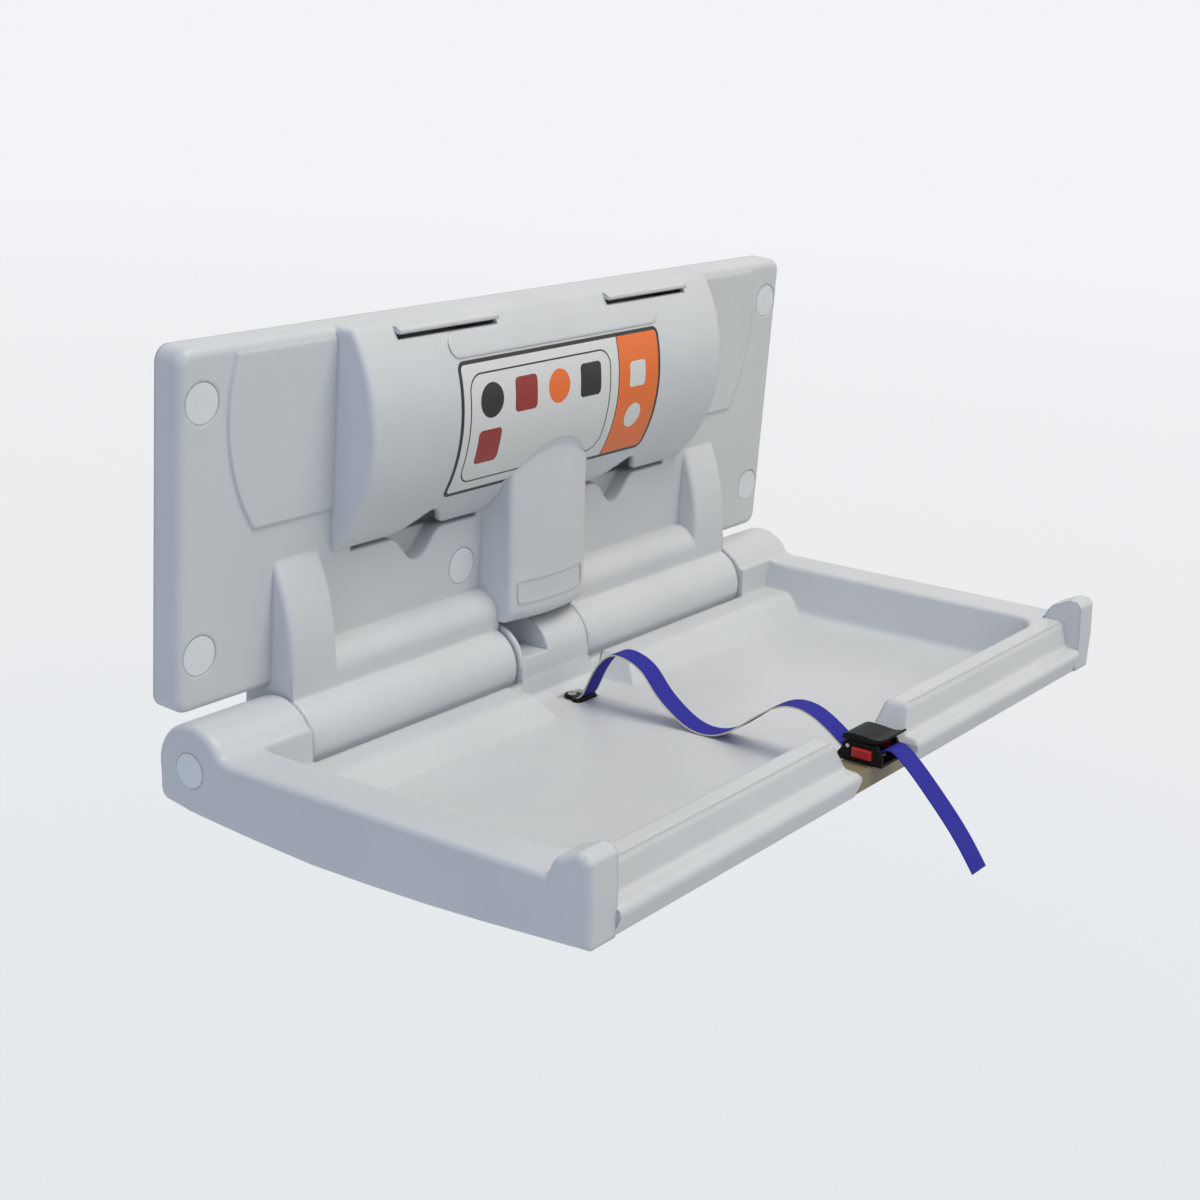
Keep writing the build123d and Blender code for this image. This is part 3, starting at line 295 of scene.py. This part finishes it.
def webbing(name):
    """Woven strap: ribs across the width, cream where the UVs run past the edges."""
    material, tree, shader = new_material(name)
    uv = add_node(tree, "ShaderNodeUVMap", uv_map="strap").outputs["UV"]
    parts = tree.nodes.new("ShaderNodeSeparateXYZ")
    tree.links.new(uv, parts.inputs["Vector"])
    across, along = parts.outputs["X"], parts.outputs["Y"]
    rib = math_node(tree, "SINE", math_node(tree, "MULTIPLY", along, 2 * math.pi / RIB_PITCH))
    yarn = math_node(tree, "SINE", math_node(tree, "MULTIPLY", across, 2 * math.pi / YARN_PITCH))
    weave = math_node(tree, "MULTIPLY", rib, yarn)
    fuzz = math_node(tree, "MULTIPLY", noise(tree, uv, FUZZ_SCALE), FUZZ_SHARE)
    height = math_node(tree, "ADD", weave, fuzz)
    tone = span(tree, height, 0.0, 1.0)
    blue = ramp(tree, tone, [(0.1, WEBBING_DARK), (0.9, WEBBING_LIGHT)])
    edge = math_node(tree, "ABSOLUTE", math_node(tree, "SUBTRACT", across, STRAP_WIDTH / 2))
    rim = math_node(tree, "GREATER_THAN", edge, STRAP_WIDTH / 2 + EDGE_SLACK)
    tree.links.new(mix_colour(tree, rim, blue, WEBBING_EDGE), shader.inputs["Base Color"])
    shader.inputs["Roughness"].default_value = WEBBING_ROUGHNESS
    shader.inputs["Specular IOR Level"].default_value = WEBBING_GLEAM
    relief = bump(tree, height, WEBBING_STRENGTH, WEBBING_DEPTH)
    tree.links.new(relief, shader.inputs["Normal"])
    return material


# Label: place, size and print, in metres
LABEL_MIDDLE = (0.0, 0.052)
LABEL_HALF = (0.155, 0.065)
LABEL_BORDER = 0.0035
LABEL_CORNER = 0.008
BLOCK_LEFT = 0.085
BLOCK_LINE = 0.0015
FRAME_MIDDLE = (-0.036, 0.052)
FRAME_HALF = (0.106, 0.052)
FRAME_CORNER = 0.016
FRAME_LINE = 0.0016
INK = (0.018, 0.018, 0.020, 1)
PAPER = (0.70, 0.71, 0.70, 1)
ORANGE = (0.84, 0.17, 0.025, 1)
BROWN = (0.30, 0.030, 0.022, 1)
FILM_SCALE = 45.0
FILM_ROUGH = (0.32, 0.42)
# Plain shapes: middle, half size, corner radius and colour
SPOT = 0.0165
SPOT_CORNER = 0.005
MARK = 0.013
MARK_CORNER = 0.004
LABEL_SHAPES = [
    ((-0.112, 0.078), SPOT, SPOT, INK),
    ((-0.062, 0.078), SPOT, SPOT_CORNER, BROWN),
    ((-0.012, 0.078), SPOT, SPOT, ORANGE),
    ((0.038, 0.078), SPOT, SPOT_CORNER, INK),
    ((-0.112, 0.034), SPOT, SPOT_CORNER, BROWN),
    ((0.116, 0.030), MARK, MARK, PAPER),
    ((0.116, 0.074), MARK, MARK_CORNER, PAPER),
]


def rounded_box(tree, x, z, middle, half, corner):
    """Distance outside a rounded rectangle, below zero within it."""
    legs = []
    for value, centre, reach in zip((x, z), middle, half):
        away = math_node(tree, "ABSOLUTE", math_node(tree, "SUBTRACT", value, centre))
        past = math_node(tree, "SUBTRACT", away, reach - corner)
        legs.append(math_node(tree, "MAXIMUM", past, 0.0))
    square = math_node(
        tree, "ADD", math_node(tree, "MULTIPLY", legs[0], legs[0]),
        math_node(tree, "MULTIPLY", legs[1], legs[1]),
    )
    return math_node(tree, "SUBTRACT", math_node(tree, "SQRT", square), corner)


def label_print(name):
    """Printed film with plain blocks, a rounded frame and bare shapes."""
    material, tree, shader = new_material(name)
    parts = tree.nodes.new("ShaderNodeSeparateXYZ")
    tree.links.new(object_coordinates(tree), parts.inputs["Vector"])
    x, z = parts.outputs["X"], parts.outputs["Z"]
    colour = PAPER
    line = math_node(tree, "GREATER_THAN", x, BLOCK_LEFT - BLOCK_LINE)
    block = math_node(tree, "GREATER_THAN", x, BLOCK_LEFT)
    colour = mix_colour(tree, line, colour, INK)
    colour = mix_colour(tree, block, colour, ORANGE)
    edge = rounded_box(tree, x, z, FRAME_MIDDLE, FRAME_HALF, FRAME_CORNER)
    ring = math_node(tree, "LESS_THAN", math_node(tree, "ABSOLUTE", edge), FRAME_LINE / 2)
    colour = mix_colour(tree, ring, colour, INK)
    for middle, half, corner, tint in LABEL_SHAPES:
        shape = rounded_box(tree, x, z, middle, (half, half), corner)
        inside = math_node(tree, "LESS_THAN", shape, 0.0)
        colour = mix_colour(tree, inside, colour, tint)
    outer = rounded_box(tree, x, z, LABEL_MIDDLE, LABEL_HALF, LABEL_CORNER)
    rim = math_node(tree, "GREATER_THAN", outer, -LABEL_BORDER)
    colour = mix_colour(tree, rim, colour, INK)
    tree.links.new(colour, shader.inputs["Base Color"])
    film = noise(tree, object_coordinates(tree), FILM_SCALE)
    tree.links.new(span(tree, film, *FILM_ROUGH), shader.inputs["Roughness"])
    return material


def material_set():
    return {
        "shell": moulded_plastic("shell_plastic", SHELL, rough=(0.30, 0.42), soft=SHELL_BEVEL),
        "cap": moulded_plastic("cap_plastic", CAP, rough=(0.3, 0.4)),
        "label": label_print("label_film"),
        "steel": brushed_metal("steel_rod", STEEL),
        "zinc": brushed_metal("zinc_plate", ZINC, rough=(0.35, 0.5)),
        "cylinder_black": moulded_plastic("cylinder_paint", PAINT, rough=(0.2, 0.3)),
        "bush": moulded_plastic("bush_plastic", BUSH),
        "tan": moulded_plastic("tan_plastic", TAN),
        "black": moulded_plastic("black_plastic", BLACK, rough=(0.38, 0.5), gleam=0.08),
        "red": moulded_plastic("red_plastic", RED, rough=(0.2, 0.3)),
        "webbing": webbing("strap_webbing"),
    }


def dress_nodes(materials):
    """Give each CAD node the material of its slot."""
    for entry in frame["record"]["subparts"]:
        node = frame["nodes"][entry["node"]]
        node.data.materials.clear()
        node.data.materials.append(materials[entry["material_slot"]])


# Mesh helpers

def add_object(name, data):
    item = bpy.data.objects.new(name, data)
    bpy.context.scene.collection.objects.link(item)
    return item


def new_mesh(name, vertices, faces, material):
    mesh = bpy.data.meshes.new(name)
    mesh.from_pydata(vertices, [], faces)
    mesh.update()
    mesh.materials.append(material)
    return mesh


def bed_point(x, u, w):
    """Point of the bed's frame, with the bed at rest."""
    y = HINGE_Y - (u * math.cos(BED_TILT) - w * math.sin(BED_TILT))
    z = HINGE_Z + u * math.sin(BED_TILT) + w * math.cos(BED_TILT)
    return Vector((x, y, z))


# Strap

def smooth_route(points, steps):
    """Points at even steps on a smooth curve through the route."""
    p = np.array(points)
    chord = np.r_[0, np.cumsum(np.linalg.norm(np.diff(p, axis=0), axis=1))]
    fine = np.linspace(0, chord[-1], steps * STRAP_FINENESS)
    rows = [natural_spline(chord, p[:, i], fine) for i in (0, 1)]
    line = np.stack(rows, 1)
    length = np.r_[0, np.cumsum(np.linalg.norm(np.diff(line, axis=0), axis=1))]
    even = np.linspace(0, length[-1], steps + 1)
    return np.stack([np.interp(even, length, line[:, i]) for i in (0, 1)], 1), length[-1]


def natural_spline(t, v, at):
    """Values at the places asked for, on a natural cubic spline through v at t."""
    n = len(t)
    h = np.diff(t)
    a = np.zeros((n, n))
    b = np.zeros(n)
    a[0, 0] = a[-1, -1] = 1
    for i in range(1, n - 1):
        a[i, i - 1:i + 2] = h[i - 1], 2 * (h[i - 1] + h[i]), h[i]
        b[i] = 6 * ((v[i + 1] - v[i]) / h[i] - (v[i] - v[i - 1]) / h[i - 1])
    m = np.linalg.solve(a, b)
    k = np.clip(np.searchsorted(t, at) - 1, 0, n - 2)
    d, e = t[k + 1] - at, at - t[k]
    return (
        m[k] * d ** 3 / (6 * h[k]) + m[k + 1] * e ** 3 / (6 * h[k])
        + (v[k] / h[k] - m[k] * h[k] / 6) * d + (v[k + 1] / h[k] - m[k + 1] * h[k] / 6) * e
    )


def strap_ring():
    """Section of the webbing: flat faces and rounded edges, as (x, offset)."""
    half, thick = STRAP_WIDTH / 2, STRAP_THICK / 2
    flat = half - thick
    top = [(-flat + 2 * flat * i / STRAP_ACROSS, thick) for i in range(STRAP_ACROSS + 1)]
    turns = (math.pi / 4, 0, -math.pi / 4)
    right = top + [(flat + thick * math.cos(a), thick * math.sin(a)) for a in turns]
    return right + [(-x, -o) for x, o in right]


def strap_piece(name, route, material, bound=True):
    """Webbing along a route; a bound one shows its cream edges."""
    line, length = smooth_route(route, STRAP_STEPS)
    along = np.gradient(line, axis=0)
    along /= np.linalg.norm(along, axis=1)[:, None]
    ring = strap_ring()
    vertices, strap_uvs = [], []
    step = length / STRAP_STEPS
    for i, ((u, w), (du, dw)) in enumerate(zip(line, along)):
        for x, offset in ring:
            vertices.append(bed_point(x, u - offset * dw, w + offset * du))
            reach = STRAP_WIDTH / 2 - STRAP_THICK * EDGE_SHARES[0 if offset > 0 else 1]
            edge = STRAP_WIDTH * (1 + CREAM_EDGE_OFFSET if x > 0 else -CREAM_EDGE_OFFSET)
            strap_uvs.append((edge if bound and abs(x) > reach else x + STRAP_WIDTH / 2, i * step))
    n = len(ring)
    faces = [
        (i * n + j, i * n + (j + 1) % n, (i + 1) * n + (j + 1) % n, (i + 1) * n + j)
        for i in range(STRAP_STEPS) for j in range(n)
    ]
    faces += [tuple(range(n - 1, -1, -1)), tuple(STRAP_STEPS * n + j for j in range(n))]
    mesh = new_mesh(name, vertices, faces, material)
    layer = mesh.uv_layers.new(name="strap")
    for loop in mesh.loops:
        layer.data[loop.index].uv = strap_uvs[loop.vertex_index]
    mesh.shade_smooth()
    return add_object(name, mesh), length


def build_straps(materials):
    strap, strap_length = strap_piece("strap_webbing_main", STRAP_ROUTE, materials["webbing"])
    tail, tail_length = strap_piece("strap_webbing_tail", TAIL_ROUTE, materials["webbing"], False)
    for piece, node in ((strap, "safety_strap"), (tail, "strap_tail")):
        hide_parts(node)
        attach(piece, "bed_body")
    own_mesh(strap)


# Strap anchor

def ease(value, low, high):
    """Smooth step from 0 at low to 1 at high."""
    share = min(1.0, max(0.0, (value - low) / (high - low)))
    return share * share * (3 - 2 * share)


def anchor_stations():
    """Places along the fitting, as (u, half width, top)."""
    rows = []
    for i in range(1, ANCHOR_EYE_STEPS + 1):
        turn = math.pi / 2 * i / ANCHOR_EYE_STEPS
        rows.append((
            ANCHOR_EYE - ANCHOR_EYE_R * math.cos(turn), ANCHOR_EYE_R * math.sin(turn),
            ANCHOR_PLATE_TOP,
        ))
    start, end = ANCHOR_BAR
    for i in range(1, ANCHOR_BAR_STEPS + 1):
        u = ANCHOR_EYE + (end - ANCHOR_EYE) * i / ANCHOR_BAR_STEPS
        wide = ease(u, ANCHOR_NECK, start + ANCHOR_RISE[1])
        rise = ease(u, start + ANCHOR_RISE[0], start + ANCHOR_RISE[1])
        drop = max(0.0, (u - end + ANCHOR_NOSE) / ANCHOR_NOSE)
        half = ANCHOR_EYE_R + (ANCHOR_BAR_HALF - ANCHOR_EYE_R) * wide
        top = ANCHOR_PLATE_TOP + (ANCHOR_BAR_TOP - ANCHOR_PLATE_TOP) * rise
        fall = 1 - math.sqrt(max(0.0, 1 - drop * drop))
        rows.append((u, half - ANCHOR_NOSE_TAPER * fall, top - ANCHOR_NOSE_DROP * fall))
    return rows


def anchor_section(half, top):
    """Half a section mirrored, as (x, w): seat, side, rounded edge and top."""
    edge = min(ANCHOR_EDGE_R, half)
    arc = [math.pi / 2 * i / ANCHOR_EDGE_STEPS for i in range(ANCHOR_EDGE_STEPS + 1)]
    right = [(half, ANCHOR_SEAT)]
    right += [(half - edge + edge * math.cos(a), top - edge + edge * math.sin(a)) for a in arc]
    return right + [(-x, w) for x, w in reversed(right)]


def build_anchor(material):
    rings = [
        [bed_point(x, u, w) for x, w in anchor_section(half, top)]
        for u, half, top in anchor_stations()
    ]
    n = len(rings[0])
    faces = [
        (i * n + j, (i + 1) * n + j, (i + 1) * n + (j + 1) % n, i * n + (j + 1) % n)
        for i in range(len(rings) - 1) for j in range(n)
    ]
    last = (len(rings) - 1) * n
    faces += [tuple(range(n)), tuple(last + j for j in reversed(range(n)))]
    mesh = new_mesh("anchor_fitting", [v for ring in rings for v in ring], faces, material)
    mesh.shade_smooth()
    piece = add_object("anchor_fitting", mesh)
    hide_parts("strap_anchor")
    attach(piece, "bed_body")


# Stage

def background_world():
    world = bpy.data.worlds.new("studio")
    bpy.context.scene.world = world
    world.use_nodes = True
    tree = world.node_tree
    tree.nodes.clear()
    out = tree.nodes.new("ShaderNodeOutputWorld")
    light = add_node(
        tree, "ShaderNodeBackground", Color=WORLD_COLOUR, Strength=WORLD_STRENGTH
    )
    shown = add_node(tree, "ShaderNodeBackground", Color=BACKGROUND, Strength=1.0)
    rays = tree.nodes.new("ShaderNodeLightPath").outputs
    seen = math_node(tree, "MAXIMUM", rays["Is Camera Ray"], rays["Is Transmission Ray"])
    seen = math_node(tree, "MAXIMUM", seen, rays["Is Glossy Ray"])
    mix = tree.nodes.new("ShaderNodeMixShader")
    tree.links.new(seen, mix.inputs["Fac"])
    tree.links.new(light.outputs[0], mix.inputs[1])
    tree.links.new(shown.outputs[0], mix.inputs[2])
    tree.links.new(mix.outputs[0], out.inputs["Surface"])


def add_floor():
    """Floor that gives plain light, and glows to the camera with a painted shadow: darker under
    the object, fading to the backdrop's tone.
    """
    material, tree, shader = new_material("floor_painted_shadow")
    shader.inputs["Base Color"].default_value = FLOOR_COLOUR
    shader.inputs["Roughness"].default_value = FLOOR_ROUGHNESS
    path = tree.nodes.new("ShaderNodeLightPath")
    away = add_node(tree, "ShaderNodeVectorMath", operation="LENGTH")
    tree.links.new(object_coordinates(tree), away.inputs[0])
    far = math_node(tree, "DIVIDE", away.outputs["Value"], FLOOR_SHADOW_REACH)
    # Painted shadow: camera rays see an emission whose tone darkens towards the object
    glow = tree.nodes.new("ShaderNodeEmission")
    tree.links.new(ramp(tree, far, FLOOR_PAINTED_SHADOW_TONES), glow.inputs["Color"])
    mix = tree.nodes.new("ShaderNodeMixShader")
    tree.links.new(path.outputs["Is Camera Ray"], mix.inputs["Fac"])
    tree.links.new(shader.outputs[0], mix.inputs[1])
    tree.links.new(glow.outputs[0], mix.inputs[2])
    out = [n for n in tree.nodes if n.type == "OUTPUT_MATERIAL"][0]
    tree.links.new(mix.outputs[0], out.inputs["Surface"])
    corners = [(x * FLOOR_HALF, y * FLOOR_HALF) for x, y in ((-1, -1), (1, -1), (1, 1), (-1, 1))]
    points = [(x, y, FLOOR_HEIGHT) for x, y in corners]
    floor = add_object("floor", new_mesh("floor", points, [(0, 1, 2, 3)], material))


def add_lights():
    for name, place, size, watts, colour in LAMPS:
        light = bpy.data.lights.new(name, "AREA")
        light.size = size
        light.energy = watts
        light.color = colour
        lamp = add_object(name, light)
        lamp.location = place
        away = Vector(LAMP_TARGET) - Vector(place)
        lamp.rotation_euler = away.to_track_quat("-Z", "Y").to_euler()


def add_camera():
    data = bpy.data.cameras.new("camera")
    data.sensor_width = CAMERA_SENSOR
    data.lens = CAMERA_LENS
    data.shift_x, data.shift_y = CAMERA_SHIFT
    yaw, pitch, roll = (math.radians(v) for v in (CAMERA_YAW, CAMERA_PITCH, CAMERA_ROLL))
    forward = Vector((
        math.sin(yaw) * math.cos(pitch), math.cos(yaw) * math.cos(pitch), -math.sin(pitch)
    ))
    right = Vector((math.cos(yaw), -math.sin(yaw), 0))
    up = right.cross(forward)
    turned_right = right * math.cos(roll) + up * math.sin(roll)
    turned_up = up * math.cos(roll) - right * math.sin(roll)
    turn = Matrix((turned_right, turned_up, -forward)).transposed().to_4x4()
    camera = add_object("camera", data)
    camera.matrix_world = Matrix.Translation(CAMERA_PLACE) @ turn
    bpy.context.scene.camera = camera


materials = material_set()
dress_nodes(materials)
build_straps(materials)
build_anchor(materials["black"])
background_world()
add_floor()
add_lights()
add_camera()
bpy.context.scene.view_settings.view_transform = "Standard"
